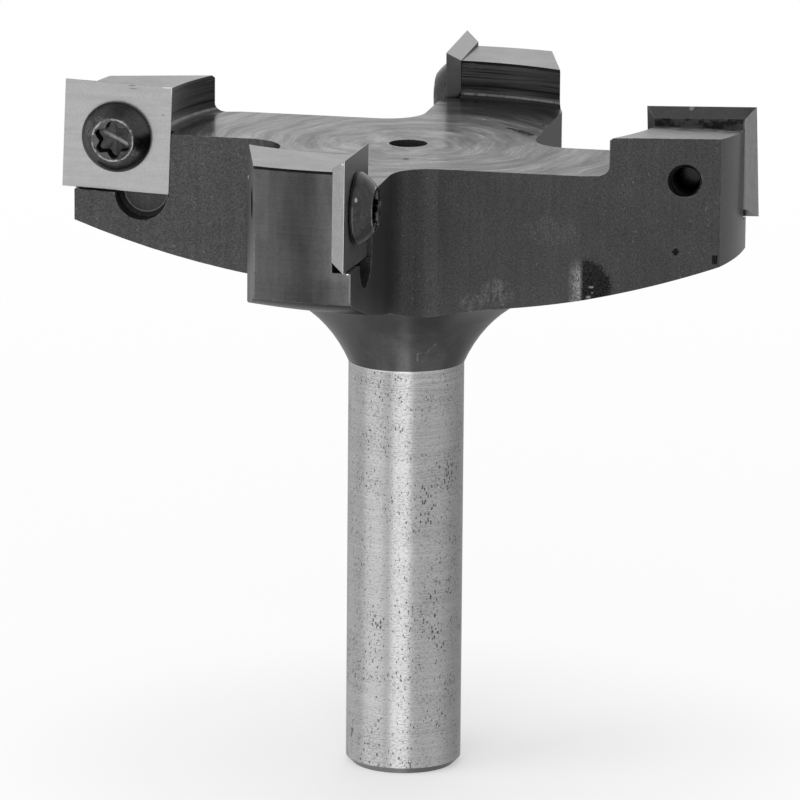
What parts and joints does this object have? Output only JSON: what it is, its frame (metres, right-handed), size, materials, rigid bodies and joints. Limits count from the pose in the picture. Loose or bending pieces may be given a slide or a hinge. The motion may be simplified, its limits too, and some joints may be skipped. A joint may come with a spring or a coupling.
{
  "type": "surfacing router bit",
  "caption": "Surfacing router bit: a straight shank flares into a bowl-shaped winged head whose square carbide inserts are held by button-head screws.",
  "frame": {"origin": "centre of the shank's end face", "axes": "+Z along the shank towards the cutting end, +X along the first wing, whose cutting face looks towards +Y"},
  "size_m": [0.077, 0.077, 0.0752],
  "materials": {
    "blackened_steel": "blackened steel with a milled face and post tops and a bright ground shank",
    "carbide": "satin ground tungsten carbide",
    "screw_steel": "glossy blackened steel"
  },
  "bodies": {
    "root": {"cutter_body": "blackened_steel", "carbide_insert_1": "carbide", "carbide_insert_2": "carbide", "carbide_insert_3": "carbide", "carbide_insert_4": "carbide", "clamp_screw_1": "screw_steel", "clamp_screw_2": "screw_steel", "clamp_screw_3": "screw_steel", "clamp_screw_4": "screw_steel"}
  },
  "joints": []
}
